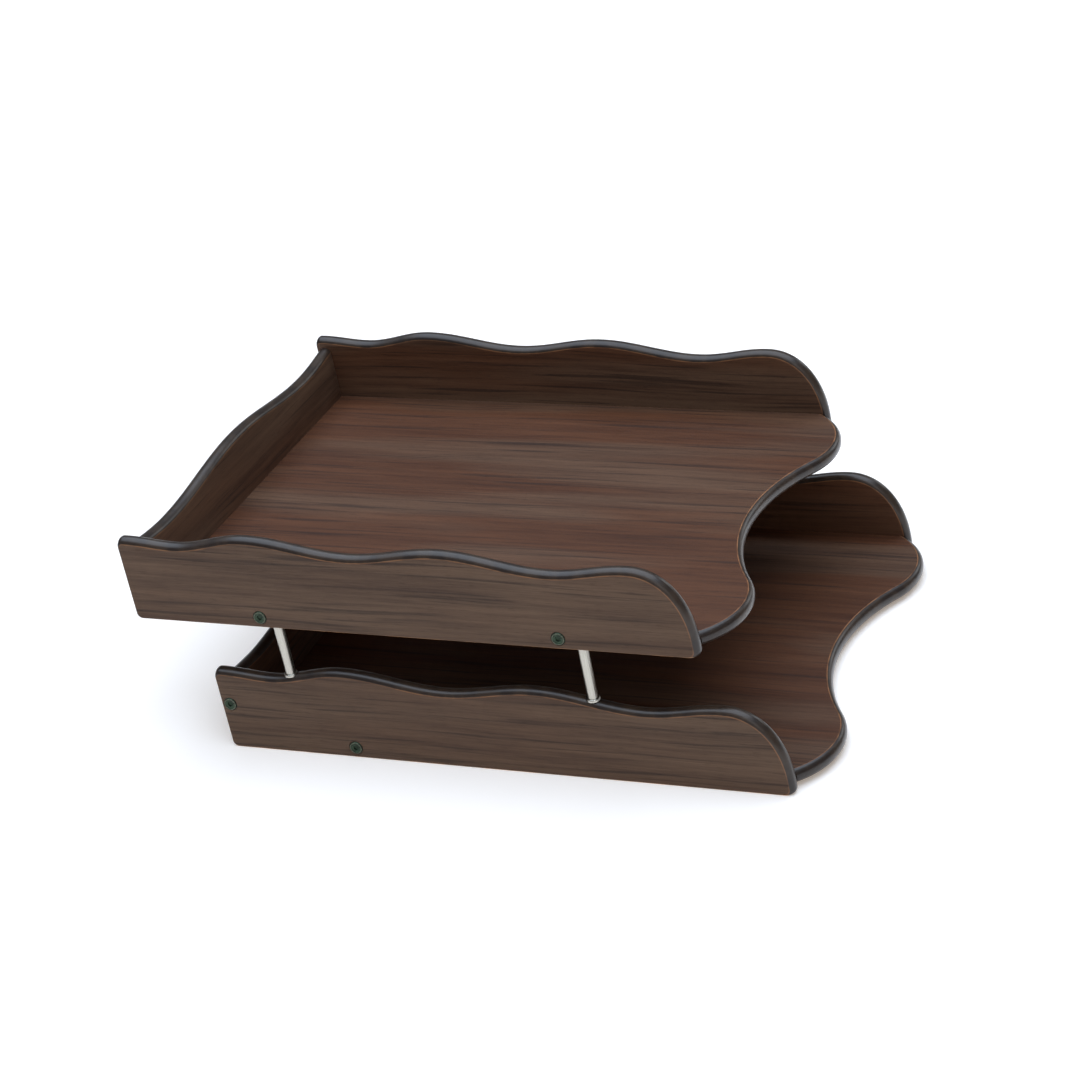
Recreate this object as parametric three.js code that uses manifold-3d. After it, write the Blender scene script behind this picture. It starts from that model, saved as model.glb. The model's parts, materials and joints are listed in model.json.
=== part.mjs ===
// Two-tier wooden letter tray on four slanting steel rods.
// Millimetres, +Z up, open fronts facing -Y, +X to the right of someone in front of it.
// Each tray is built in its own frame: x = 0 halfway between its sides, y = 0 and z = 0 at
// the lower back corner of the side boards, with the front towards -Y.

import * as THREE from 'three';
import { mergeVertices } from 'three/addons/utils/BufferGeometryUtils.js';
import Module from 'manifold-3d';

// Boards
const trayWidth = 292; // over the outer faces of the two side boards
const sideLength = 345; // lower edge of a side board, back to front
const boardThickness = 9;
const edgeFlat = 0.6; // left between the two roundings of a rounded-over edge
const baseLift = 2; // underside of the base above the underside of the sides
const leanAngle = 4; // backward lean of rear edges, back boards and rods, in degrees

// Top edge of a side board: [distance from the back, height] at each crest and dip
const sideWave = [
  [0, 52.3],
  [33, 50],
  [77, 57],
  [142, 49.2],
  [196, 55.3],
  [263, 46.9],
  [307, 52],
];
const noseDepth = 38; // the top edge drops to the lower front corner over this length
const noseFullness = 0.93; // 1 would make the nose a quarter of an ellipse, less is fuller
const lowerCornerRadius = 3.5;
const upperCornerRadius = 3;

// Top edge of a back board: [distance from the middle, height] at each crest and dip
const backWave = [
  [0, 50.5],
  [98, 42.3],
  [172, 48.5],
];
const backInset = 1; // rear face of the back board inside the rear edges of the sides

// Front edge of a base: two lobes with a finger recess between them
const lobeOvershoot = 16; // lobe tips in front of the lower front corners of the sides
const lobeInset = 48; // lobe centres inside the outer faces of the sides
const lobeRadius = 53;
const recessDepth = 27;

// How the upper tray stands over the lower one
const trayRise = 84;
const traySetback = 46.5;

// Riser rods and the collars around their feet
const rodRadius = 3;
const rodPlugDepth = 18; // length of rod inside each board
const rodChamfer = 0.5;
const frontRodPastScrew = 12; // how far in front of the upper tray's base screws the rods stand
const rearRodPastScrew = 8.5;
const collarWall = 0.7;
const collarHeight = 1.6;
const collarRim = 1; // height at which a collar begins to taper
const collarSeatDepth = 0.9; // how deep a collar is let into the top edge

// Screws and dowels
const screwHeadRadius = 4;
const screwHeadHeight = 2.2;
const screwHeadProud = 0.6;
const screwHeadBevel = 1.2; // width of the sloping rim around the head
const screwShankRadius = 2;
const screwLength = 32;
const screwTipLength = 4;
const screwSocketRadius = 1.7;
const screwSocketDepth = 1.3;
const dowelRadius = 3;
const dowelLength = 26;
const dowelDepthInSide = 6;
const dowelChamfer = 0.8;
const fixingInset = 81; // base fixings, from the back and the front end of the sides
const upperBackFixing = 29.5; // heights in the ends of the back boards
const lowerBackFixing = 16;

// Clearances
const jointClearance = 0.3; // between boards, and at the end of each blind hole
const holeClearance = 0.3; // radial, around rods, screws, heads, collars and dowels

// Fineness of the faceted outlines
const waveStep = 9;
const edgeSteps = 2;
const noseSteps = 8;
const arcSteps = 10;
const cornerSteps = 3;
const roundSegments = 16;
const weldDistance = 1e-4;
const footRounds = 5; // rounds of closing in on the foot of a rod
const overrun = 15; // how far a cutting outline passes the board it cuts

// Derived places
const lean = THREE.MathUtils.degToRad(leanAngle);
const edgeRadius = (boardThickness - edgeFlat) / 2;
const lobeReach = sideLength + lobeOvershoot;
const collarRadius = rodRadius + holeClearance + collarWall;
const innerHalfWidth = trayWidth / 2 - boardThickness;
const sideMiddle = trayWidth / 2 - boardThickness / 2;
const baseMiddle = baseLift + boardThickness / 2;
const upAlongLean = new THREE.Vector3(0, Math.sin(lean), Math.cos(lean));
const baseFixings = { rear: fixingInset, front: sideLength - fixingInset };
const backFixings = { upper: upperBackFixing, lower: lowerBackFixing };
const rodsPastScrews = { rear: rearRodPastScrew, front: frontRodPastScrew };
const hands = { left: -1, right: 1 };

const walnut = { color: 0x5a493f, roughness: 0.5, metalness: 0 };
const polishedSteel = { color: 0xc9c7c0, roughness: 0.2, metalness: 1 };
const bronze = { color: 0x46513f, roughness: 0.45, metalness: 0.9 };
const beech = { color: 0xc9a878, roughness: 0.7, metalness: 0 };

const wasm = await Module();
wasm.setup();

// ---------------------------------------------------------------- solids

function toSolid(geometry) {
  const bare = geometry.clone();
  bare.deleteAttribute('normal');
  bare.deleteAttribute('uv');
  const welded = mergeVertices(bare, weldDistance);
  const mesh = new wasm.Mesh({
    numProp: 3,
    vertProperties: new Float32Array(welded.attributes.position.array),
    triVerts: new Uint32Array(welded.index.array),
  });
  return new wasm.Manifold(mesh);
}

function toGeometry(solid) {
  const { vertProperties, triVerts } = solid.getMesh();
  const geometry = new THREE.BufferGeometry();
  geometry.setAttribute('position', new THREE.BufferAttribute(vertProperties, 3));
  geometry.setIndex(new THREE.BufferAttribute(triVerts, 1));
  geometry.computeVertexNormals();
  return geometry;
}

function placed(geometry, frame) {
  return geometry.clone().applyMatrix4(frame);
}

// Frames that lay an extruded outline down in the tray: the outline's own x, y and depth
// become the three axes given, starting from the point given.
function layIn(xAxis, yAxis, depthAxis, start = new THREE.Vector3()) {
  return new THREE.Matrix4().makeBasis(xAxis, yAxis, depthAxis).setPosition(start);
}

const right = new THREE.Vector3(1, 0, 0);
const back = new THREE.Vector3(0, 1, 0);
const up = new THREE.Vector3(0, 0, 1);
const front = back.clone().negate();

// A board with a rounded-over edge all the way round its outline
function mouldedBoard(outline, frame) {
  const board = new THREE.ExtrudeGeometry(outline, {
    depth: edgeFlat,
    curveSegments: arcSteps,
    bevelThickness: edgeRadius,
    bevelSize: edgeRadius,
    bevelOffset: -edgeRadius,
    bevelSegments: edgeSteps,
  });
  board.translate(0, 0, edgeRadius);
  return toSolid(placed(board, frame));
}

// A square-edged block across the tray, drawn from the side as [y, z]
function crossBlock(outline, halfLength) {
  const block = new THREE.ExtrudeGeometry(outline, {
    depth: 2 * halfLength,
    curveSegments: cornerSteps,
    bevelEnabled: false,
  });
  return toSolid(placed(block, layIn(back, up, right, new THREE.Vector3(-halfLength, 0, 0))));
}

// A round bar turned from a profile of [radius, distance along it]
function turned(profile, start, direction) {
  const bar = new THREE.LatheGeometry(
    profile.map(([radius, along]) => new THREE.Vector2(radius, along)),
    roundSegments,
  );
  const turn = new THREE.Quaternion().setFromUnitVectors(back, direction);
  return bar.applyQuaternion(turn).translate(start.x, start.y, start.z);
}

function plainBar(radius, length, start, direction, chamfer = 0) {
  const profile = chamfer > 0
    ? [[0, 0], [radius - chamfer, 0], [radius, chamfer],
       [radius, length - chamfer], [radius - chamfer, length], [0, length]]
    : [[0, 0], [radius, 0], [radius, length], [0, length]];
  return turned(profile, start, direction);
}

// A hole drilled from a mouth along a direction, started outside the wood
function hole(radius, depth, mouth, direction) {
  const start = mouth.clone().addScaledVector(direction, -overrun);
  return toSolid(plainBar(radius + holeClearance, depth + overrun, start, direction));
}

// ---------------------------------------------------------------- outlines

// Height of a wavy edge: half a cosine wave between each crest and the next dip
function waveHeight(wave, distance) {
  const next = wave.findIndex(([place]) => place > distance);
  if (next < 0) return wave.at(-1)[1];
  const [fromPlace, fromHeight] = wave[Math.max(next - 1, 0)];
  const [toPlace, toHeight] = wave[next];
  const share = next > 0 ? (distance - fromPlace) / (toPlace - fromPlace) : 1;
  return fromHeight + (toHeight - fromHeight) * (1 - Math.cos(Math.PI * share)) / 2;
}

function steps(from, to, longest) {
  const count = Math.ceil(Math.abs(to - from) / longest);
  return Array.from({ length: count + 1 }, (_, i) => from + (to - from) * i / count);
}

function rearEdgeAt(height) {
  return height * Math.tan(lean);
}

// Side board from the side, as [y, z]: wavy top and curved nose, carried past its other edges
function sideMould() {
  const noseStart = sideLength - noseDepth;
  const noseHeight = waveHeight(sideWave, noseStart);
  const outline = new THREE.Shape();
  outline.moveTo(overrun, -overrun);
  outline.lineTo(-sideLength, -overrun);
  for (const turn of steps(0, Math.PI / 2, Math.PI / 2 / noseSteps)) {
    const ahead = noseDepth * Math.cos(turn) ** noseFullness;
    outline.lineTo(-noseStart - ahead, noseHeight * Math.sin(turn) ** noseFullness);
  }
  for (const distance of steps(noseStart, 0, waveStep).slice(1)) {
    outline.lineTo(-distance, waveHeight(sideWave, distance));
  }
  outline.lineTo(overrun, waveHeight(sideWave, 0));
  return outline;
}

// What is left of a side board once its foot and its leaning rear edge are sawn
function sideTrim() {
  const top = waveHeight(sideWave, 0);
  const rearTop = rearEdgeAt(top);
  const lower = lowerCornerRadius;
  const outline = new THREE.Shape();
  outline.moveTo(-sideLength - overrun, lower);
  outline.lineTo(-sideLength, lower);
  outline.quadraticCurveTo(-sideLength, 0, -sideLength + lower, 0);
  outline.lineTo(-lower, 0);
  outline.quadraticCurveTo(0, 0, rearEdgeAt(lower), lower);
  outline.lineTo(rearEdgeAt(top - upperCornerRadius), top - upperCornerRadius);
  outline.quadraticCurveTo(rearTop, top, rearTop - upperCornerRadius, top);
  outline.lineTo(rearTop - upperCornerRadius, top + overrun);
  outline.lineTo(-sideLength - overrun, top + overrun);
  return outline;
}

// Base board from above, as [x, y]: lobe, finger recess, lobe, carried past its other edges
function baseMould() {
  const halfSpacing = trayWidth / 2 - lobeInset;
  const radii = (halfSpacing ** 2 + recessDepth ** 2) / (2 * recessDepth);
  const recessRadius = radii - lobeRadius;
  const lobeCentre = -(lobeReach - lobeRadius);
  const recessCentre = -(lobeReach - recessDepth + recessRadius);
  const turn = Math.asin(halfSpacing / radii);
  const ahead = Math.PI * 1.5;
  const outline = new THREE.Shape();
  outline.moveTo(-halfSpacing - lobeRadius, overrun);
  outline.lineTo(-halfSpacing - lobeRadius, lobeCentre);
  outline.absarc(-halfSpacing, lobeCentre, lobeRadius, Math.PI, ahead + turn, false);
  outline.absarc(0, recessCentre, recessRadius, Math.PI / 2 + turn, Math.PI / 2 - turn, true);
  outline.absarc(halfSpacing, lobeCentre, lobeRadius, ahead - turn, Math.PI * 2, false);
  outline.lineTo(halfSpacing + lobeRadius, overrun);
  return outline;
}

// What is left of a base board between the sides and in front of the back board
function baseTrim() {
  const rear = -(backInset + boardThickness) / Math.cos(lean) - jointClearance;
  const low = baseLift - overrun;
  const high = baseLift + boardThickness + overrun;
  const outline = new THREE.Shape();
  outline.moveTo(-lobeReach - overrun, low);
  outline.lineTo(rear + rearEdgeAt(low), low);
  outline.lineTo(rear + rearEdgeAt(high), high);
  outline.lineTo(-lobeReach - overrun, high);
  return outline;
}

// Back board from the front, as [x, z]: wavy top, carried past its ends and foot
function backMould() {
  const halfLength = innerHalfWidth + overrun;
  const outline = new THREE.Shape();
  outline.moveTo(halfLength, -overrun);
  for (const place of steps(halfLength, -halfLength, waveStep)) {
    outline.lineTo(place, waveHeight(backWave, Math.abs(place)));
  }
  outline.lineTo(-halfLength, -overrun);
  return outline;
}

// What is left of a back board above the level of the base's underside
function backTrim() {
  const high = Math.max(...backWave.map(([, height]) => height)) + overrun;
  const ahead = -(backInset + boardThickness) / Math.cos(lean) - overrun;
  const behind = rearEdgeAt(high) + overrun;
  const outline = new THREE.Shape();
  outline.moveTo(ahead, baseLift);
  outline.lineTo(behind, baseLift);
  outline.lineTo(behind, high);
  outline.lineTo(ahead, high);
  return outline;
}

// ---------------------------------------------------------------- places of the fixings

// The middle of the back board's thickness at a height
function backMiddleAt(height) {
  return rearEdgeAt(height) - (backInset + boardThickness / 2) / Math.cos(lean);
}

// Each tray's fixings on one side: where they are, and whether a screw or a hidden dowel
// holds the joint there. Seen from the middle of the outer face of the side board.
function fixingPoints(kinds, side) {
  const outer = side * trayWidth / 2;
  const base = Object.entries(baseFixings).map(([place, distance]) => ({
    name: `base_${kinds.base[place]}_${place}`,
    kind: kinds.base[place],
    point: new THREE.Vector3(outer, -distance, baseMiddle),
  }));
  const backEnd = Object.entries(backFixings).map(([place, height]) => ({
    name: `back_${kinds.back[place]}_${place}`,
    kind: kinds.back[place],
    point: new THREE.Vector3(outer, backMiddleAt(height), height),
  }));
  return [...base, ...backEnd];
}

// The holes that one fixing needs, drilled through both boards at once
function fixingHoles({ kind, point }, side) {
  const inward = new THREE.Vector3(-side, 0, 0);
  if (kind === 'screw') {
    const sunk = screwHeadHeight - screwHeadProud + jointClearance;
    const shank = screwLength - screwHeadProud + jointClearance;
    return [
      hole(screwHeadRadius, sunk, point, inward),
      hole(screwShankRadius, shank, point, inward),
    ];
  }
  const start = point.clone();
  start.x = side * (innerHalfWidth + dowelDepthInSide + jointClearance);
  const length = dowelLength + 2 * jointClearance;
  return [toSolid(plainBar(dowelRadius + holeClearance, length, start, inward))];
}

function screw(point, side) {
  const inward = new THREE.Vector3(-side, 0, 0);
  const start = point.clone().addScaledVector(inward, -screwHeadProud);
  const shankEnd = screwLength - screwTipLength;
  return turned([
    [0, screwSocketDepth],
    [screwSocketRadius, screwSocketDepth],
    [screwSocketRadius, 0],
    [screwHeadRadius - screwHeadBevel, 0],
    [screwHeadRadius, screwHeadProud],
    [screwHeadRadius, screwHeadHeight],
    [screwShankRadius, screwHeadHeight],
    [screwShankRadius, shankEnd],
    [0, screwLength],
  ], start, inward);
}

function dowel(point, side) {
  const inward = new THREE.Vector3(-side, 0, 0);
  const start = point.clone();
  start.x = side * (innerHalfWidth + dowelDepthInSide);
  return plainBar(dowelRadius, dowelLength, start, inward, dowelChamfer);
}

// ---------------------------------------------------------------- riser rods

// Where the middle of a rod enters the foot of an upper side board
function rodMouth(place, side) {
  const distance = baseFixings[place] + rodsPastScrews[place] - traySetback;
  return new THREE.Vector3(side * sideMiddle, -distance, trayRise);
}

// Where it crosses the wavy top edge of the lower side board, found by closing in on it
function rodFoot(mouth) {
  const foot = mouth.clone();
  for (let i = 0; i < footRounds; i += 1) {
    foot.z = waveHeight(sideWave, -foot.y);
    foot.y = mouth.y - (mouth.z - foot.z) * Math.tan(lean);
  }
  return foot;
}

const rodSpan = (foot) => (trayRise - foot.z) / Math.cos(lean);

function rod(foot) {
  const start = foot.clone().addScaledVector(upAlongLean, -rodPlugDepth);
  const length = rodSpan(foot) + 2 * rodPlugDepth;
  return plainBar(rodRadius, length, start, upAlongLean, rodChamfer);
}

function collar(foot) {
  const inner = rodRadius + holeClearance;
  const start = foot.clone().addScaledVector(upAlongLean, jointClearance - collarSeatDepth);
  return turned([
    [inner, 0],
    [collarRadius, 0],
    [collarRadius, collarRim],
    [(inner + collarRadius) / 2, collarHeight],
    [inner, collarHeight],
    [inner, 0],
  ], start, upAlongLean);
}

// Rod holes and collar seats in the top edge of a lower side board
function lowerRodHoles(foot) {
  const down = upAlongLean.clone().negate();
  return [
    hole(rodRadius, rodPlugDepth + jointClearance, foot, down),
    hole(collarRadius, collarSeatDepth, foot, down),
  ];
}

// Rod holes in the foot of an upper side board, in that tray's own frame
function upperRodHoles(foot) {
  const mouth = foot.clone().addScaledVector(upAlongLean, rodSpan(foot));
  mouth.y -= traySetback;
  mouth.z -= trayRise;
  return [hole(rodRadius, rodPlugDepth + jointClearance, mouth, upAlongLean)];
}

// ---------------------------------------------------------------- assembly

function addPiece(parent, name, geometry, finish) {
  const mesh = new THREE.Mesh(geometry, new THREE.MeshStandardMaterial(finish));
  mesh.name = name;
  parent.add(mesh);
}

function drilled(board, holes) {
  return holes.reduce((wood, cutter) => wood.subtract(cutter), board);
}

function buildTray(tier, kinds, rodHoles) {
  const tray = new THREE.Group();
  const acrossCuts = [];
  for (const [hand, side] of Object.entries(hands)) {
    const fixings = fixingPoints(kinds, side);
    const cuts = fixings.flatMap((fixing) => fixingHoles(fixing, side));
    acrossCuts.push(...cuts);
    const start = new THREE.Vector3(side * sideMiddle - boardThickness / 2, 0, 0);
    const blank = mouldedBoard(sideMould(), layIn(back, up, right, start));
    const sawn = blank.intersect(crossBlock(sideTrim(), trayWidth));
    const holes = [...cuts, ...rodHoles(side)];
    addPiece(tray, `${tier}_${hand}_side`, toGeometry(drilled(sawn, holes)), walnut);
    for (const { name, kind, point } of fixings) {
      const fixing = kind === 'screw' ? screw(point, side) : dowel(point, side);
      addPiece(tray, `${tier}_${hand}_${name}`, fixing, kind === 'screw' ? bronze : beech);
    }
  }
  const fittedHalf = innerHalfWidth - jointClearance;
  const baseFrame = new THREE.Matrix4().makeTranslation(0, 0, baseLift);
  const base = mouldedBoard(baseMould(), baseFrame).intersect(crossBlock(baseTrim(), fittedHalf));
  addPiece(tray, `${tier}_base`, toGeometry(drilled(base, acrossCuts)), walnut);
  const backFrame = new THREE.Matrix4()
    .makeRotationX(-lean)
    .multiply(layIn(right, up, front, new THREE.Vector3(0, -backInset, 0)));
  const rear = mouldedBoard(backMould(), backFrame).intersect(crossBlock(backTrim(), fittedHalf));
  addPiece(tray, `${tier}_back`, toGeometry(drilled(rear, acrossCuts)), walnut);
  return tray;
}

const footOf = (place, side) => rodFoot(rodMouth(place, side));
const feetOn = (side) => Object.keys(rodsPastScrews).map((place) => footOf(place, side));

const letterTray = new THREE.Group();

const lowerTray = buildTray(
  'lower',
  { base: { rear: 'screw', front: 'dowel' }, back: { upper: 'screw', lower: 'dowel' } },
  (side) => feetOn(side).flatMap(lowerRodHoles),
);
letterTray.add(lowerTray);

const upperTray = buildTray(
  'upper',
  { base: { rear: 'screw', front: 'screw' }, back: { upper: 'dowel', lower: 'dowel' } },
  (side) => feetOn(side).flatMap(upperRodHoles),
);
upperTray.position.set(0, traySetback, trayRise);
letterTray.add(upperTray);

for (const [hand, side] of Object.entries(hands)) {
  for (const place of Object.keys(rodsPastScrews)) {
    const foot = footOf(place, side);
    addPiece(letterTray, `${hand}_${place}_rod`, rod(foot), polishedSteel);
    addPiece(letterTray, `${hand}_${place}_collar`, collar(foot), polishedSteel);
  }
}

// The origin is at the middle of the footprint, on the surface that the tray stands on
const footprint = new THREE.Box3().setFromObject(letterTray);
letterTray.position.y = -(footprint.min.y + footprint.max.y) / 2;

export default letterTray;
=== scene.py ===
import json
import math
import bmesh
import bpy
from mathutils import Matrix, Vector


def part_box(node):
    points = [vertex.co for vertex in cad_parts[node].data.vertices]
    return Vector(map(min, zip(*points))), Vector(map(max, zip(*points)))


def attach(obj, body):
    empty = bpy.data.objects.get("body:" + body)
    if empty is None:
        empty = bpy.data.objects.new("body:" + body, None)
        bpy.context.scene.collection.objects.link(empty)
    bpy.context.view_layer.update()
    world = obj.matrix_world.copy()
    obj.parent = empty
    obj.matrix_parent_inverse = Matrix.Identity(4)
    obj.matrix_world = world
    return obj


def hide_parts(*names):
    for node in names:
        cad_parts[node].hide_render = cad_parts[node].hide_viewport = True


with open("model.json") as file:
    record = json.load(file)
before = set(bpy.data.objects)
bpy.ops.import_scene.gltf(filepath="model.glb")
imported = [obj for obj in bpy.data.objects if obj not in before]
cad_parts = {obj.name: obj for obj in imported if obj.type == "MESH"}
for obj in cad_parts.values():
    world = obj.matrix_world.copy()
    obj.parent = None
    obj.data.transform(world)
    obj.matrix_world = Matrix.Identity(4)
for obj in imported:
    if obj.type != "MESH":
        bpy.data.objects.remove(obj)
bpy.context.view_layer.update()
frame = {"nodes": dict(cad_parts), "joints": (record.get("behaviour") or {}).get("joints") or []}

# ---------------------------------------------------------------- side boards
# Four sides of 9 mm fibreboard, faced inside and out with dark walnut laminate. The wavy top and
# nose are rounded over on a router table, the foot and the leaning rear edge sawn and eased. All
# edges are sprayed dark brown, with a worn hair of raw board between paint and laminate.
MM = 0.001
TIERS = ("lower", "upper")
HANDS = {"left": -1, "right": 1}
side_length = 345 * MM
lobe_overshoot = 16 * MM
side_wave = [(0, 52.3), (33, 50), (77, 57), (142, 49.2), (196, 55.3), (263, 46.9), (307, 52)]
nose_depth = 38 * MM
nose_fullness = 0.93
lower_corner_radius = 3.5 * MM
upper_corner_radius = 3 * MM
edge_flat = 0.6 * MM
eased_radius = 0.9 * MM
foot_height = 1.0 * MM
side_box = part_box("lower_left_side")
board_thickness = side_box[1].x - side_box[0].x
half_thickness = board_thickness / 2
moulded_radius = (board_thickness - edge_flat) / 2
inner_half_width = -side_box[1].x
slide_axis = Vector(frame["joints"][0]["axis"]).normalized()
lean = math.atan2(slide_axis.y, slide_axis.z)
edge_steps = 12
corner_steps = 8
wave_step = 2.5 * MM
nose_steps = 30
nose_foot_angle = 0.09


def tray_corner(tier):
    """The lower back corner of a tray's sides, halfway between them."""
    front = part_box(f"{tier}_base")[0].y
    return Vector((0, front + side_length + lobe_overshoot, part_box(f"{tier}_left_side")[0].z))


def wave_height(wave, distance):
    """Height of a wavy edge: half a cosine wave between each crest and the next dip."""
    place = abs(distance) / MM
    for (start, low), (end, high) in zip(wave, wave[1:]):
        if place < end:
            share = (1 - math.cos(math.pi * (place - start) / (end - start))) / 2
            return (low + (high - low) * share) * MM
    return wave[-1][1] * MM


def drawn_in(points, inset):
    """An open curve moved sideways by the inset, to the right of the way it runs."""
    moved = []
    for i, (x, y) in enumerate(points):
        before, after = points[max(i - 1, 0)], points[min(i + 1, len(points) - 1)]
        run = Vector((after[0] - before[0], after[1] - before[1])).normalized()
        moved.append((x + run.y * inset, y - run.x * inset))
    return moved


def rounded_corner(corner, before, after, radius):
    """The arc that eases a corner, given the ways back and on along its two straight edges."""
    corner, before, after = Vector(corner), Vector(before).normalized(), Vector(after).normalized()
    half_turn = before.angle(after) / 2
    middle = corner + (before + after).normalized() * radius / math.sin(half_turn)
    start = corner + before * radius / math.tan(half_turn) - middle
    end = corner + after * radius / math.tan(half_turn) - middle
    swing = start.angle_signed(end)
    spokes = [Matrix.Rotation(-swing * i / corner_steps, 2) @ start for i in range(corner_steps + 1)]
    return [tuple(middle + spoke) for spoke in spokes]


def evenly(start, end, count):
    return [start + (end - start) * i / count for i in range(count + 1)]


def edge_inset(depth, radius):
    """How far an edge of that radius has drawn in at a depth from the middle of the board."""
    past = max(abs(depth) - half_thickness + radius, 0)
    return radius - math.sqrt(max(radius ** 2 - past ** 2, 0))


def rear_edge(height, inset):
    """Distance of the leaning rear edge from the lower back corner, at a height."""
    return inset / math.cos(lean) - height * math.tan(lean)


def side_ring(depth):
    """A side board's outline at a depth, as (distance from the back, height), foot first."""
    moulded = edge_inset(depth, moulded_radius)
    eased = edge_inset(depth, eased_radius)
    nose_start = side_length - nose_depth
    nose_height = wave_height(side_wave, nose_start)
    top = wave_height(side_wave, 0) - moulded
    rear_foot = (rear_edge(eased, eased), eased)
    rear_top = (rear_edge(top, eased), top)
    count = round(nose_start / wave_step)
    crest = [(place, wave_height(side_wave, place)) for place in evenly(0, nose_start, count)]
    for turn in evenly(math.pi / 2, nose_foot_angle, nose_steps)[1:]:
        out, up = math.cos(turn) ** nose_fullness, math.sin(turn) ** nose_fullness
        crest.append((nose_start + nose_depth * out, nose_height * up))
    up_rear = (-math.sin(lean), math.cos(lean))
    down_rear = (math.sin(lean), -math.cos(lean))
    ring = rounded_corner((side_length - moulded, eased), (0, 1), (-1, 0), lower_corner_radius)
    ring += rounded_corner(rear_foot, (1, 0), up_rear, lower_corner_radius)
    ring += rounded_corner(rear_top, down_rear, (1, 0), upper_corner_radius)
    return ring + drawn_in(crest, moulded)


def board_mesh(name, ring_at):
    """A board lofted through its outline at each depth, from one face to the other."""
    angles = evenly(0, math.pi / 2, edge_steps)
    far = [edge_flat / 2 + moulded_radius * math.sin(angle) for angle in angles]
    shell = bmesh.new()
    layers = []
    for depth in [-d for d in reversed(far)] + far:
        layers.append([shell.verts.new((x, y, depth)) for x, y in ring_at(depth)])
    for low, high in zip(layers, layers[1:]):
        for i in range(len(low)):
            shell.faces.new((low[i - 1], low[i], high[i], high[i - 1]))
    shell.faces.new(layers[0])
    shell.faces.new(layers[-1])
    bmesh.ops.recalc_face_normals(shell, faces=shell.faces)
    mesh = bpy.data.meshes.new(name)
    shell.to_mesh(mesh)
    shell.free()
    return mesh


def new_piece(name, mesh, place=Matrix.Identity(4)):
    piece = bpy.data.objects.new(name, mesh)
    bpy.context.scene.collection.objects.link(piece)
    piece.matrix_world = place
    return piece


def turned(name, profile, start, direction, segments=32, ripple=None):
    """A round piece turned from (radius, distance along it), started on its axis. The ripple
    gives each point of the surface its radius, from the turned radius, distance and angle."""
    lathe = bmesh.new()
    rings = []
    for radius, along in profile:
        count = segments if radius > 0 else 1
        ring = []
        for i in range(count):
            angle = math.tau * i / segments
            reach = ripple(radius, along, angle) if ripple else radius
            ring.append(lathe.verts.new((reach * math.cos(angle), reach * math.sin(angle), along)))
        rings.append(ring)
    for low, high in zip(rings, rings[1:]):
        for i in range(segments):
            corners = [low[i - 1], low[i]] if len(low) > 1 else [low[0]]
            corners += [high[i], high[i - 1]] if len(high) > 1 else [high[0]]
            if len(corners) > 2:
                lathe.faces.new(corners)
    bmesh.ops.recalc_face_normals(lathe, faces=lathe.faces)
    mesh = bpy.data.meshes.new(name)
    lathe.to_mesh(mesh)
    lathe.free()
    turn = Vector((0, 0, 1)).rotation_difference(direction).to_matrix().to_4x4()
    return new_piece(name, mesh, Matrix.Translation(start) @ turn)


def softly_shaded(piece, sharp_over=38):
    """Smooth shading that keeps flat faces flat and hard edges hard."""
    piece.data.shade_smooth()
    piece.data.set_sharp_from_angle(angle=math.radians(sharp_over))
    weighted = piece.modifiers.new("weighted_normals", "WEIGHTED_NORMAL")
    weighted.keep_sharp = True
    weighted.weight = 100


def bored(board, bits):
    """Cuts holes of the bits' shapes into a board and takes the bits away."""
    for bit in bits:
        cut = board.modifiers.new("bore", "BOOLEAN")
        cut.operation = "DIFFERENCE"
        cut.solver = "EXACT"
        cut.object = bit
    bpy.context.view_layer.update()
    depsgraph = bpy.context.evaluated_depsgraph_get()
    mesh = bpy.data.meshes.new_from_object(board.evaluated_get(depsgraph))
    board.modifiers.clear()
    board.data = mesh
    for bit in bits:
        bpy.data.objects.remove(bit)
    softly_shaded(board)


bore_clearance = 0.3 * MM
head_height = 2.2 * MM
head_proud = 0.6 * MM
shank_radius = 2 * MM
overrun = 6 * MM


def bit_for(node):
    """The drill bit that makes room for one screw, dowel, rod or collar."""
    low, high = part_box(node)
    middle, size = (low + high) / 2, high - low
    if "screw" in node:
        outward = Vector((math.copysign(1, middle.x), 0, 0))
        face = Vector((outward.x * (inner_half_width + board_thickness), middle.y, middle.z))
        head = size.y / 2 + bore_clearance
        seat = head_height - head_proud + bore_clearance
        shank = shank_radius + bore_clearance
        deep = size.x - head_proud + bore_clearance
        profile = [(0, -overrun), (head, -overrun), (head, seat), (shank, seat), (shank, deep), (0, deep)]
        return turned("bit", profile, face, -outward)
    if "dowel" in node:
        radius = size.y / 2 + bore_clearance
        length = size.x + 2 * bore_clearance
        start = Vector((low.x - bore_clearance, middle.y, middle.z))
        profile = [(0, 0), (radius, 0), (radius, length), (0, length)]
        return turned("bit", profile, start, Vector((1, 0, 0)))
    radius = size.x / 2 + bore_clearance
    own_length = (size.z - size.x * math.sin(lean)) / math.cos(lean)
    start = middle - slide_axis * (own_length / 2 + bore_clearance)
    length = own_length + 2 * bore_clearance
    if "collar" in node:
        length += overrun
    profile = [(0, 0), (radius, 0), (radius, length), (0, length)]
    return turned("bit", profile, start, slide_axis)


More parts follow.
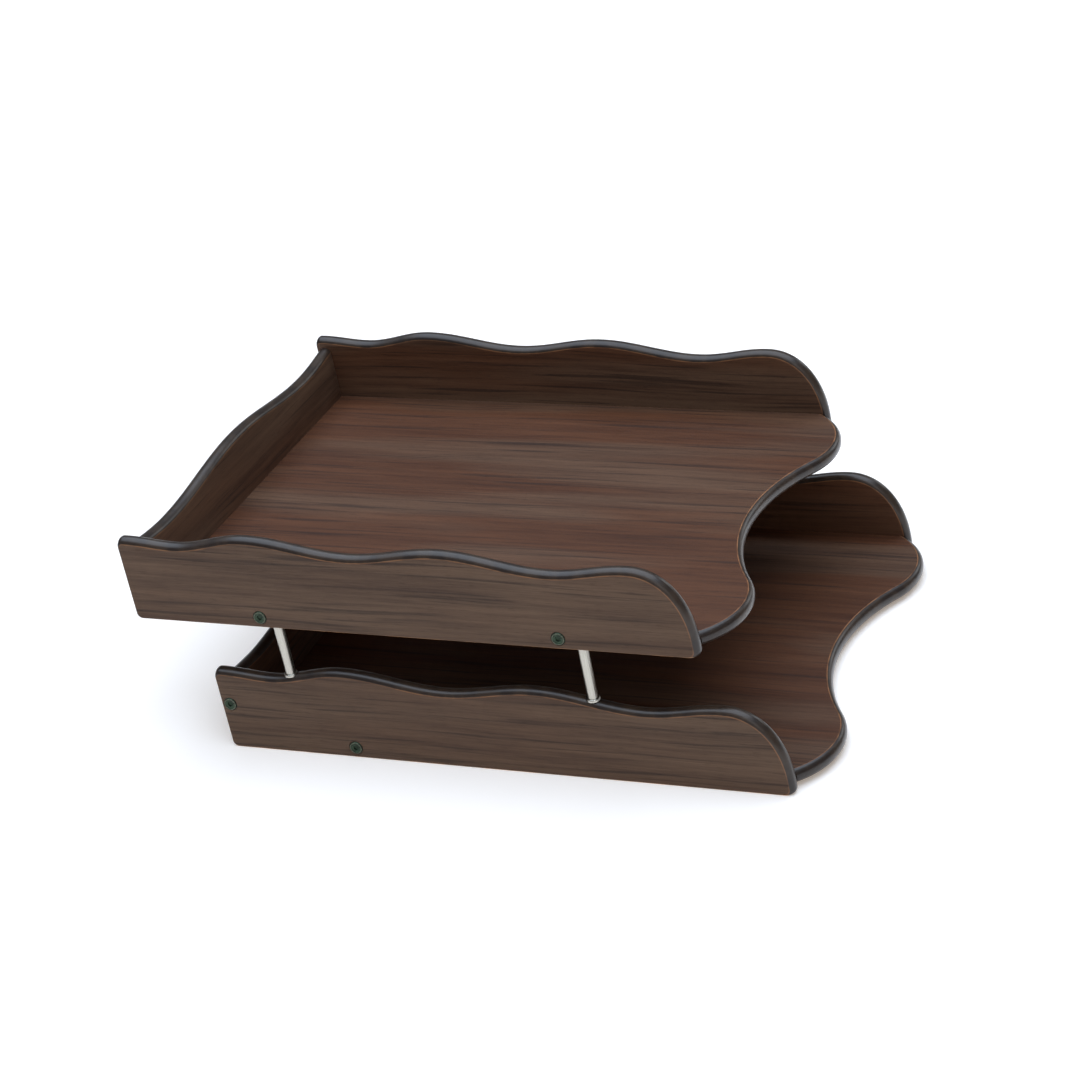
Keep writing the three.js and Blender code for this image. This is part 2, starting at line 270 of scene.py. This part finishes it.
class Strand:
    """A socket of a material. Sums of strands add the maths nodes that work them out."""

    def __init__(self, tree, output=None):
        self.tree = tree
        self.output = output

    def node(self, kind, settings, inputs, output=0):
        """Adds a node: its settings first, then the value or link of each of its sockets."""
        made = self.tree.nodes.new(kind)
        for name, value in settings.items():
            if name == "stops":
                stops = made.color_ramp.elements
                while len(stops) < len(value):
                    stops.new(1)
                for stop, (place, colour) in zip(stops, value):
                    stop.position = place
                    stop.color = (*colour, 1)
            else:
                setattr(made, name, value)
        for name, value in inputs.items():
            if isinstance(value, Strand):
                self.tree.links.new(value.output, made.inputs[name])
            else:
                made.inputs[name].default_value = value
        return Strand(self.tree, made.outputs[output])

    def worked(self, operation, first, second):
        if self.output.type == "VECTOR":
            return self.node("ShaderNodeVectorMath", {"operation": operation}, {0: first, 1: second})
        return self.node("ShaderNodeMath", {"operation": operation}, {0: first, 1: second})

    def __add__(self, other):
        return self.worked("ADD", self, other)

    def __radd__(self, other):
        return self.worked("ADD", other, self)

    def __sub__(self, other):
        return self.worked("SUBTRACT", self, other)

    def __rsub__(self, other):
        return self.worked("SUBTRACT", other, self)

    def __mul__(self, other):
        return self.worked("MULTIPLY", self, other)

    def __rmul__(self, other):
        return self.worked("MULTIPLY", other, self)

    def __abs__(self):
        return self.worked("ABSOLUTE", self, 0)

    def rising(self, low, high):
        """0 up to low, 1 from high on, and a soft step between."""
        settings = {"interpolation_type": "SMOOTHSTEP"}
        return self.node("ShaderNodeMapRange", settings, {"Value": self, "From Min": low, "From Max": high})

    def noise(self, detail=2.0, roughness=0.5, distortion=0.0):
        """Noise whose grain is one unit of this position."""
        inputs = {"Vector": self, "Scale": 1.0, "Detail": detail, "Roughness": roughness}
        return self.node("ShaderNodeTexNoise", {}, {**inputs, "Distortion": distortion})

    def coloured(self, stops):
        return self.node("ShaderNodeValToRGB", {"stops": stops}, {"Fac": self})

    def between(self, first, second, way="MIX"):
        """The first colour where this is 0 and the second where it is 1."""
        # the node's sockets 6 and 7 are its two colours, and its output 2 is the mixed one
        colours = {6: first, 7: second}
        colours = {k: v if isinstance(v, Strand) else (*v, 1) for k, v in colours.items()}
        return self.node("ShaderNodeMix", {"data_type": "RGBA", "blend_type": way}, {0: self, **colours}, 2)

    def length(self):
        return self.node("ShaderNodeVectorMath", {"operation": "LENGTH"}, {0: self}, 1)

    def part(self, axis):
        return self.node("ShaderNodeSeparateXYZ", {}, {0: self}, "XYZ".index(axis))

    def bump(self, distance, strength=1.0):
        return self.node("ShaderNodeBump", {}, {"Height": self, "Distance": distance, "Strength": strength})


def new_material(name):
    """A fresh material, its shader and the position on the piece, in metres."""
    material = bpy.data.materials.new(name)
    material.use_nodes = True
    tree = material.node_tree
    tree.nodes.clear()
    shader = tree.nodes.new("ShaderNodeBsdfPrincipled")
    output = tree.nodes.new("ShaderNodeOutputMaterial")
    tree.links.new(shader.outputs["BSDF"], output.inputs["Surface"])
    position = Strand(tree).node("ShaderNodeTexCoord", {}, {}, "Object")
    return material, shader, position


def finish_shader(material, shader, settings):
    """Links what varies over the surface and sets what doesn't."""
    for name, value in settings.items():
        if isinstance(value, Strand):
            material.node_tree.links.new(value.output, shader.inputs[name])
        else:
            shader.inputs[name].default_value = value


heartwood = (0.020, 0.011, 0.008)
walnut_dark = (0.058, 0.031, 0.019)
walnut_brown = (0.096, 0.057, 0.035)
sapwood = (0.132, 0.081, 0.050)
# a reddish, darkening tint multiplied into the laminate; the inner faces get more of it as painted shade
redder_and_darker = (0.84, 0.52, 0.37)
edge_paint = (0.018, 0.011, 0.008)
edge_paint_worn = (0.036, 0.022, 0.014)
raw_board = (0.300, 0.130, 0.055)
sawn_board = (0.520, 0.260, 0.110)
laminate_from = half_thickness - 0.14 * MM
hairline_from = half_thickness - 0.24 * MM
hairline_to = half_thickness - 0.03 * MM
thin_paint_from = half_thickness - 0.9 * MM


def walnut_board(name, cut_from, ruddy_faces_with_inner_shade, bareness, sawn_foot=0.0):
    """Walnut laminate on both faces, dark paint on the edges, a hair of raw board between.
    Each face is cut from its own place in the sheet, so that no two show the same figure, and
    is more or less ruddy: first the one at the low end of the board's thickness, then the other.
    The ruddy tint is the laminate's own, but the inner faces of sides and backs get more of it,
    which makes them redder and darker as painted shade.
    The bareness says how much of the raw line shows. Along a sawn foot of the given height the
    paint is thin, and the raw board shows through it."""
    material, shader, position = new_material(name)
    depth = abs(position.part("Z"))
    second_face = position.part("Z").rising(-0.1 * MM, 0.1 * MM)
    # the inner faces are made ruddier and darker than the outer ones: painted shade
    ruddiness_with_inner_shade = ruddy_faces_with_inner_shade[0] + second_face * (ruddy_faces_with_inner_shade[1] - ruddy_faces_with_inner_shade[0])
    between_cuts = depth.node("ShaderNodeCombineXYZ", {}, {"X": second_face * 0.9, "Y": second_face * 0.4})
    sheet = position * (1.0, 1.0, 0.0) + between_cuts + cut_from
    sway = (sheet * (6.0, 18.0, 0.0)).noise(1.0) - 0.5
    grain = sheet + sway.node("ShaderNodeCombineXYZ", {}, {"Y": sway * (8 * MM)})
    bands = (grain * (5.0, 70.0, 1.0)).noise(3.0, 0.55)
    streaks = (grain * (12.0, 380.0, 1.0)).noise(4.0, 0.6)
    fibres = (sheet * (45.0, 2200.0, 1.0)).noise(2.0, 0.5)
    growth_lines = (grain * (9.0, 430.0, 3.0)).noise(2.0, 0.55).rising(0.55, 0.70)
    pores = (sheet * (140.0, 3000.0, 1.0)).noise(1.0, 0.4).rising(0.60, 0.72)
    warmth = (grain * (3.0, 22.0, 2.0)).noise(2.0, 0.5).rising(0.40, 0.66)
    tone = bands * 0.36 + streaks * 0.42 + fibres * 0.22
    face = tone.coloured([(0.36, walnut_dark), (0.50, walnut_brown), (0.66, sapwood)])
    face = (warmth * ruddiness_with_inner_shade + 0.5 * ruddiness_with_inner_shade).between(face, redder_and_darker, "MULTIPLY")
    face = (growth_lines * 0.62 + pores * 0.30).between(face, heartwood)
    paint = depth.node("ShaderNodeMath", {"operation": "LESS_THAN"}, {0: depth, 1: laminate_from})
    rubbed = (position * (70.0, 70.0, 70.0)).noise(3.0, 0.6).rising(0.38, 0.62)
    hairline = depth.rising(hairline_from, hairline_from + 0.09 * MM)
    hairline = hairline * (1 - depth.rising(hairline_to - 0.06 * MM, hairline_to))
    coat = rubbed.between(edge_paint, edge_paint_worn)
    if sawn_foot:
        thin_paint = depth.rising(thin_paint_from, thin_paint_from + 0.3 * MM) * paint
        on_foot = 1 - position.part("Y").rising(sawn_foot * 0.7, sawn_foot)
        coat = (thin_paint * on_foot * (0.35 + 0.6 * rubbed)).between(coat, sawn_board)
    orange_peel = (position * (650.0, 650.0, 650.0)).noise(1.0)
    wood_or_paint = paint.between(face, coat)
    colour = (hairline * bareness * (0.25 + 0.75 * rubbed)).between(wood_or_paint, raw_board)
    smear = (position * (30.0, 60.0, 60.0)).noise(3.0, 0.6)
    face_gloss = 0.42 + 0.12 * smear + 0.10 * streaks + 0.12 * pores
    edge_gloss = 0.27 + 0.10 * smear
    relief = (fibres * 0.5 - pores) * (1 - paint) + orange_peel * 0.12 * paint
    finish_shader(material, shader, {
        "Base Color": colour,
        "Roughness": face_gloss * (1 - paint) + edge_gloss * paint,
        "Normal": relief.bump(0.06 * MM, 0.5),
        "Coat Weight": paint * 0.45,
        "Coat Roughness": 0.3,
        "Specular IOR Level": 0.22,
    })
    return material


def fixings(tier, hand=""):
    """The screws and dowels of one tray, on one hand or both."""
    own = [node for node in sorted(frame["nodes"]) if node.startswith(f"{tier}_{hand}")]
    return [node for node in own if "screw" in node or "dowel" in node]


def place_piece(piece, node, body, material):
    """Dresses a piece and puts it in its node's stead on the body that carries it."""
    piece.data.materials.clear()
    piece.data.materials.append(material)
    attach(piece, body)
    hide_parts(node)


forward = Vector((0, -1, 0))
across = Vector((1, 0, 0))
upward = Vector((0, 0, 1))


def lying(along, over, through, start):
    """The frame of a board: its grain, its width and its thickness, from its own corner."""
    place = Matrix((along, over, through)).transposed().to_4x4()
    place.translation = start
    return place


for tier_number, tier in enumerate(TIERS):
    for hand, way in HANDS.items():
        node = f"{tier}_{hand}_side"
        start = tray_corner(tier) + across * way * (inner_half_width + half_thickness)
        place = lying(forward, upward, -across, start)
        board = new_piece(f"{node}_board", board_mesh(node, side_ring), place)
        rods = [f"{hand}_{end}_rod" for end in ("front", "rear")]
        collars = [f"{hand}_{end}_collar" for end in ("front", "rear")] if tier == "lower" else []
        bored(board, [bit_for(fixing) for fixing in fixings(tier, hand) + rods + collars])
        figure = (0.7 * tier_number, 0.31 * way, 1.9 + tier_number)
        # the inner face of each side is the ruddier one, darkened as painted shade
        faces = (0.60, 0.18) if hand == "left" else (0.18, 0.60)
        walnut = walnut_board(f"{node}_walnut", figure, faces, 0.55, foot_height)
        place_piece(board, node, f"{tier}_tray", walnut)

# ---------------------------------------------------------------- base boards
# Two bases of the same laminated board, screwed or dowelled between the sides. Their fronts are
# cut to two lobes with a finger recess between them, rounded over and sprayed like the sides.
lobe_inset = 48 * MM
lobe_radius = 53 * MM
recess_depth = 27 * MM
back_inset = 1 * MM
board_gap = 0.15 * MM
arc_steps = 26


def base_ring(depth):
    """A base board's outline at a height about its middle, as (distance to the front, across)."""
    moulded = edge_inset(depth, moulded_radius)
    half = inner_half_width - board_gap
    lobe_across = inner_half_width + board_thickness - lobe_inset
    lobe_along = side_length + lobe_overshoot - lobe_radius
    reach = (lobe_across ** 2 + recess_depth ** 2) / (2 * recess_depth)
    turn = math.asin(lobe_across / reach)
    recess_along = lobe_along + reach * math.cos(turn)
    lobe, recess = lobe_radius - moulded, reach - lobe_radius + moulded
    outer = math.asin((half - lobe_across) / lobe)
    arcs = [(recess_along - recess * math.cos(a), recess * math.sin(a)) for a in evenly(0, turn, arc_steps)]
    swing = evenly(-turn, outer, 2 * arc_steps)[1:]
    arcs += [(lobe_along + lobe * math.cos(a), lobe_across + lobe * math.sin(a)) for a in swing]
    height = base_middle + depth
    rear = (back_inset + board_thickness) / math.cos(lean) + board_gap - height * math.tan(lean)
    ring = arcs + [(rear, half), (rear, -half)]
    return ring + [(x, -y) for x, y in reversed(arcs[1:])]


base_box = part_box("lower_base")
base_middle = (base_box[0].z + base_box[1].z) / 2 - tray_corner("lower").z
for tier_number, tier in enumerate(TIERS):
    node = f"{tier}_base"
    start = tray_corner(tier) + upward * base_middle
    place = lying(forward, across, upward, start)
    board = new_piece(f"{node}_board", board_mesh(node, base_ring), place)
    bored(board, [bit_for(fixing) for fixing in fixings(tier)])
    figure = (0.4 + 0.9 * tier_number, 2.3, 5.1 + tier_number)
    walnut = walnut_board(f"{node}_walnut", figure, (0.90, 0.90), 0.85)
    place_piece(board, node, f"{tier}_tray", walnut)

# ---------------------------------------------------------------- back boards
# Two backs of the same laminated board, screwed or dowelled between the sides and leaning with
# their rear edges. Their tops are cut to a wave, highest in the middle, rounded and sprayed.
back_wave = [(0, 50.5), (98, 42.3), (172, 48.5)]


def back_ring(depth):
    """A back board's outline at a depth towards the front, as (across, height along it)."""
    half = inner_half_width - board_gap
    set_in = back_inset + half_thickness + depth
    foot = (base_middle - half_thickness - set_in * math.sin(lean)) / math.cos(lean)
    places = evenly(-half, half, round(2 * half / wave_step))
    crest = [(place, wave_height(back_wave, place)) for place in places]
    top = drawn_in(crest, edge_inset(depth, moulded_radius))
    top[0], top[-1] = (-half, top[0][1]), (half, top[-1][1])
    return [(half, foot), (-half, foot)] + top


for tier_number, tier in enumerate(TIERS):
    node = f"{tier}_back"
    through = across.cross(slide_axis)
    start = tray_corner(tier) + through * (back_inset + half_thickness)
    place = lying(across, slide_axis, through, start)
    board = new_piece(f"{node}_board", board_mesh(node, back_ring), place)
    bored(board, [bit_for(fixing) for fixing in fixings(tier) if "_back_" in fixing])
    figure = (1.7 - 0.8 * tier_number, 3.6, 8.3 + tier_number)
    # the inner face of each back is the ruddier one, darkened as painted shade
    walnut = walnut_board(f"{node}_walnut", figure, (0.30, 0.45), 0.35)
    place_piece(board, node, f"{tier}_tray", walnut)

# ---------------------------------------------------------------- dowels
# Fluted beech dowels, glued across the joints where no screw shows. They are chamfered at both
# ends and out of sight once the tray is together.
flutes = 14
flute_depth = 0.22 * MM
dowel_chamfer = 0.8 * MM
beech_pale = (0.64, 0.44, 0.26)
beech_warm = (0.50, 0.31, 0.16)


def beech():
    material, shader, position = new_material("beech_dowel")
    rays = (position * (2600.0, 2600.0, 320.0)).noise(2.0)
    bands = (position * (400.0, 400.0, 12.0)).noise(3.0, 0.6)
    flecks = rays.rising(0.60, 0.70)
    colour = bands.coloured([(0.35, beech_warm), (0.65, beech_pale)])
    colour = (flecks * 0.5).between(colour, beech_warm)
    settings = {"Base Color": colour, "Roughness": 0.62 + 0.12 * rays, "Normal": bands.bump(0.1 * MM)}
    finish_shader(material, shader, settings)
    return material


def fluted(radius, along, angle):
    return radius - flute_depth * (0.5 - 0.5 * math.cos(flutes * angle)) if radius > 0 else 0


dowel_wood = beech()
for node in [n for n in sorted(frame["nodes"]) if "dowel" in n]:
    low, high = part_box(node)
    radius, length = (high.y - low.y) / 2, high.x - low.x
    profile = [(0, 0), (radius - dowel_chamfer, 0), (radius, dowel_chamfer)]
    profile += [(radius, length - dowel_chamfer), (radius - dowel_chamfer, length), (0, length)]
    start = Vector((low.x, (low.y + high.y) / 2, (low.z + high.z) / 2))
    dowel = turned(f"{node}_fluted", profile, start, across, 4 * flutes, fluted)
    softly_shaded(dowel)
    place_piece(dowel, node, f"{node.split('_')[0]}_tray", dowel_wood)

# ---------------------------------------------------------------- screws
# Wood screws with low heads and a hexagon socket, in antique bronze that has gone slightly
# green. Each sits in a counterbore in the outer face of a side board and pulls the joint tight.
thread_pitch = 2.4 * MM
thread_core = 1.35 * MM
thread_start = 9 * MM
tip_length = 4 * MM
socket_depth = 1.35 * MM
socket_radius = 1.75 * MM
head_rounding = [(1.35, 0.36), (1.1, 0.22), (0.85, 0.02), (0.62, 0), (0.3, 0.12), (0.08, 0.4), (0, 0.8)]
steps_per_turn = 8
tip_steps = 8
bronze_dark = (0.014, 0.020, 0.013)
bronze_green = (0.050, 0.080, 0.050)
bronze_bright = (0.34, 0.33, 0.24)


def antique_bronze():
    material, shader, position = new_material("antique_bronze")
    tarnish = (position * (620.0, 620.0, 620.0)).noise(3.0, 0.6)
    scratches = (position * (4200.0, 600.0, 900.0)).noise(2.0, 0.6)
    from_axis = (position * (1.0, 1.0, 0.0)).length()
    # a lighter, scratched ring round the rim of the head
    lighter_rim_ring = from_axis.rising(2.9 * MM, 3.3 * MM) * (1 - from_axis.rising(3.6 * MM, 3.9 * MM))
    colour = tarnish.coloured([(0.35, bronze_dark), (0.65, bronze_green)])
    colour = (lighter_rim_ring * 0.35 * scratches.rising(0.35, 0.6)).between(colour, bronze_bright)
    finish_shader(material, shader, {
        "Base Color": colour,
        "Metallic": 0.75,
        "Roughness": 0.34 + 0.22 * tarnish,
        "Normal": (tarnish * 0.6 + scratches * 0.4).bump(0.05 * MM, 0.6),
    })
    return material


def hexagon_and_thread(radius, along, angle):
    """Flats round the socket, and a thread that winds down the shank."""
    if 0 < radius < socket_radius + 0.01 * MM and along < head_height:
        sixth = math.tau / 6
        return radius * math.cos(sixth / 2) / math.cos(angle % sixth - sixth / 2)
    if along < thread_start or radius == 0:
        return radius
    ridge = abs((along / thread_pitch - angle / math.tau) % 1 - 0.5) * 2
    return radius * (thread_core + (shank_radius - thread_core) * ridge ** 2) / shank_radius


bronze = antique_bronze()
for node in [n for n in sorted(frame["nodes"]) if "screw" in n]:
    low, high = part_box(node)
    radius, length = (high.y - low.y) / 2, high.x - low.x
    profile = [(0, socket_depth + 0.4 * MM), (socket_radius * 0.55, socket_depth + 0.15 * MM)]
    profile += [(socket_radius, socket_depth), (socket_radius, 0.55 * MM)]
    profile += [(socket_radius + 0.18 * MM, 0.36 * MM)]
    profile += [(radius - inset * MM, along * MM) for inset, along in head_rounding]
    profile += [(radius, head_height), (shank_radius, head_height)]
    thread_end = length - tip_length
    steps = round((thread_end - thread_start) / thread_pitch * steps_per_turn)
    profile += [(shank_radius, along) for along in evenly(thread_start, thread_end, steps)]
    left_of_tip = [1 - i / tip_steps for i in range(1, tip_steps + 1)]
    profile += [(shank_radius * left, length - tip_length * left) for left in left_of_tip]
    outward = Vector((math.copysign(1, low.x + high.x), 0, 0))
    start = Vector((outward.x * max(abs(low.x), abs(high.x)), (low.y + high.y) / 2, (low.z + high.z) / 2))
    screw = turned(f"{node}_threaded", profile, start, -outward, 36, hexagon_and_thread)
    softly_shaded(screw, 30)
    place_piece(screw, node, f"{node.split('_')[0]}_tray", bronze)

# ---------------------------------------------------------------- riser rods and collars
# Four bright drawn-steel rods, 6 mm thick, pressed into the upper sides and let down into blind
# holes in the lower ones. A thin turned collar on each rod closes the mouth of its lower hole.
rod_chamfer = 0.5 * MM
steel_light = (0.56, 0.53, 0.47)
steel_shade = (0.42, 0.395, 0.345)


def drawn_steel():
    material, shader, position = new_material("drawn_steel")
    drawing = (position * (5200.0, 5200.0, 9.0)).noise(3.0, 0.6)
    cloud = (position * (60.0, 60.0, 25.0)).noise(2.0, 0.5)
    colour = (cloud * 0.6 + drawing * 0.4).coloured([(0.35, steel_shade), (0.65, steel_light)])
    finish_shader(material, shader, {
        "Base Color": colour,
        "Metallic": 1.0,
        "Roughness": 0.20 + 0.10 * drawing + 0.06 * cloud,
        "Normal": drawing.bump(0.02 * MM, 0.4),
    })
    return material


steel = drawn_steel()
for hand in HANDS:
    for place in ("front", "rear"):
        node = f"{hand}_{place}_rod"
        low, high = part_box(node)
        radius = (high.x - low.x) / 2
        length = (high.z - low.z - 2 * radius * math.sin(lean)) / math.cos(lean)
        start = (low + high) / 2 - slide_axis * length / 2
        profile = [(0, 0), (radius - rod_chamfer, 0), (radius - 0.15 * MM, 0.2 * MM), (radius, rod_chamfer)]
        profile += [(r, length - along) for r, along in reversed(profile)]
        rod = turned(f"{node}_drawn", profile, start, slide_axis, 48)
        softly_shaded(rod)
        place_piece(rod, node, "upper_tray", steel)
        node = f"{hand}_{place}_collar"
        low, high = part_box(node)
        rim = (high.x - low.x) / 2
        height = (high.z - low.z - 2 * rim * math.sin(lean)) / math.cos(lean)
        start = (low + high) / 2 - slide_axis * height / 2
        bore = radius + bore_clearance / 2
        profile = [(bore, 0), (rim, 0), (rim, 0.55 * height), (rim - 0.1 * MM, 0.8 * height)]
        profile += [(rim - 0.3 * MM, 0.95 * height), ((rim + bore) / 2, height)]
        profile += [(bore, 0.94 * height), (bore, 0)]
        collar = turned(f"{node}_turned", profile, start, slide_axis, 48)
        # the profile ends where it began, so its last ring is welded to its first
        weld = bmesh.new()
        weld.from_mesh(collar.data)
        bmesh.ops.remove_doubles(weld, verts=weld.verts, dist=1e-7)
        bmesh.ops.recalc_face_normals(weld, faces=weld.faces)
        weld.to_mesh(collar.data)
        weld.free()
        softly_shaded(collar)
        place_piece(collar, node, "upper_tray", steel)

# ---------------------------------------------------------------- table top, light and camera
# A plain pale table top that glows whiter further out, in a grey room that is brighter overhead.
# A broad, cool soft box hangs above, a weak one lights the left and a small one the noses, and
# a long lens looks down from the left.
floor_reach = 9.0
floor_mesh = bpy.data.meshes.new("table_top")
floor_corners = [(x * floor_reach, y * floor_reach, 0) for x, y in ((-1, -1), (1, -1), (1, 1), (-1, 1))]
floor_mesh.from_pydata(floor_corners, [], [(0, 1, 2, 3)])
floor = new_piece("table_top", floor_mesh)
glowing_table_top, floor_shader, floor_position = new_material("table_top")
mottle = (floor_position * (3.0, 3.0, 3.0)).noise(2.0)
further_out = floor_position.length().rising(0.3, 1.5)
finish_shader(glowing_table_top, floor_shader, {
    "Base Color": mottle.coloured([(0.3, (0.86, 0.83, 0.80)), (0.7, (0.88, 0.85, 0.82))]),
    "Roughness": 0.7,
    # the table top glows as painted light: dim and warm near the tray, where it lifts the tray's shadow,
    # and white further out
    "Emission Color": further_out.between((0.36, 0.32, 0.28), (1.0, 1.0, 1.0)),
    "Emission Strength": 0.75,
})
floor_mesh.materials.append(glowing_table_top)

ceiling_white = (0.30, 0.32, 0.35)
wall_grey = (0.12, 0.12, 0.125)
room = bpy.data.worlds.new("grey_room")
bpy.context.scene.world = room
room.use_nodes = True
height = Strand(room.node_tree).node("ShaderNodeTexCoord", {}, {}, "Generated").part("Z")
room_light = height.rising(0.30, 0.80).between(wall_grey, ceiling_white)
room.node_tree.links.new(room_light.output, room.node_tree.nodes["Background"].inputs["Color"])


def soft_box(name, size, power, colour, place, aim):
    """A square lamp of that size and power, turned to light the point it is aimed at."""
    lamp = bpy.data.lights.new(name, "AREA")
    lamp.size = size
    lamp.energy = power
    lamp.color = colour
    stand = bpy.data.objects.new(name, lamp)
    bpy.context.scene.collection.objects.link(stand)
    stand.location = place
    stand.rotation_mode = "QUATERNION"
    stand.rotation_quaternion = (Vector(aim) - Vector(place)).to_track_quat("-Z", "Y")


soft_box("overhead_box", 2.2, 42, (0.78, 0.90, 1.06), (0.0, 0.1, 1.5), (0.0, 0.1, 0))
soft_box("side_box", 1.2, 6, (1.0, 0.98, 0.95), (-1.9, -1.2, 1.3), (0, 0, 0.05))
soft_box("nose_box", 0.6, 2.5, (0.92, 0.97, 1.0), (1.6, -0.9, 0.78), (0, -0.1, 0.1))

camera_place = (-1.3048, -0.5654, 0.8039)
camera_heading = 66.42
camera_fall = 27.27
camera_roll = -8.02
camera = bpy.data.cameras.new("camera")
camera.sensor_width = 36
camera.lens = 87.96
camera_stand = bpy.data.objects.new("camera", camera)
bpy.context.scene.collection.objects.link(camera_stand)
turn = Matrix.Rotation(math.radians(-camera_heading), 4, "Z")
tilt = Matrix.Rotation(math.radians(90 - camera_fall), 4, "X")
roll = Matrix.Rotation(math.radians(camera_roll), 4, "Z")
camera_stand.matrix_world = Matrix.Translation(camera_place) @ turn @ tilt @ roll
camera.clip_start = 0.05
bpy.context.scene.camera = camera_stand
bpy.context.scene.view_settings.view_transform = "Standard"
